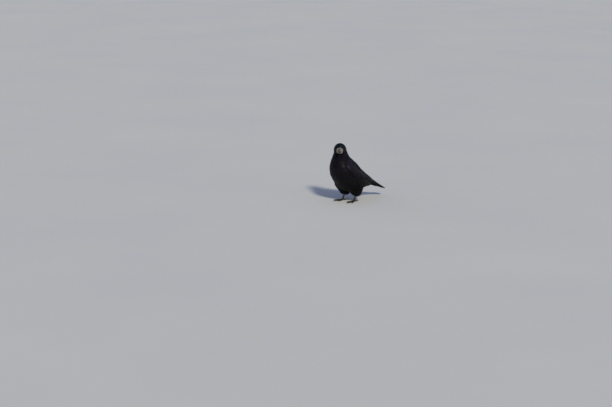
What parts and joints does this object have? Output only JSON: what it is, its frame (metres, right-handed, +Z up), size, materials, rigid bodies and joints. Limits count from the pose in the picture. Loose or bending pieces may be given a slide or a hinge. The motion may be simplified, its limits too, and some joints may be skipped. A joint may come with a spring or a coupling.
{
  "type": "standing rook",
  "caption": "Life-size still model of a standing rook with folded wings, its head turned to one side, a pointed bill, a bare pale face and loose thigh feathers.",
  "frame": {"origin": "on the floor, under the middle of the bird's bounding box", "axes": "+Z up, +X to the bird's own left, -Y the way that its body faces, so +Y runs towards its tail"},
  "size_m": [0.1434, 0.3282, 0.2821],
  "materials": {
    "plumage": "black contour feathers with a soft violet and blue gloss",
    "flight_feathers": "smooth black flight feathers with a faint blue gloss",
    "bare_skin": "dry, pale grey, scurfy skin",
    "bill_horn": "satin grey-black horn, paler and rough at its base",
    "leg_scales": "black scaled skin, satin",
    "claw": "black polished horn",
    "eye": "wet, very dark brown"
  },
  "bodies": {
    "root": {"head": "plumage", "face": "bare_skin", "bill_upper": "bill_horn", "bill_lower": "bill_horn", "eye_left": "eye", "eye_right": "eye", "neck": "plumage", "trunk": "plumage", "rump": "plumage", "tail": "flight_feathers", "wing_left_coverts": "plumage", "wing_left_secondaries": "flight_feathers", "wing_left_primaries": "flight_feathers", "thigh_left": "plumage", "tarsus_left": "leg_scales", "toe_left_inner": "leg_scales", "toe_left_middle": "leg_scales", "toe_left_outer": "leg_scales", "toe_left_hind": "leg_scales", "claw_left_inner": "claw", "claw_left_middle": "claw", "claw_left_outer": "claw", "claw_left_hind": "claw", "wing_right_coverts": "plumage", "wing_right_secondaries": "flight_feathers", "wing_right_primaries": "flight_feathers", "thigh_right": "plumage", "tarsus_right": "leg_scales", "toe_right_inner": "leg_scales", "toe_right_middle": "leg_scales", "toe_right_outer": "leg_scales", "toe_right_hind": "leg_scales", "claw_right_inner": "claw", "claw_right_middle": "claw", "claw_right_outer": "claw", "claw_right_hind": "claw"}
  },
  "joints": []
}
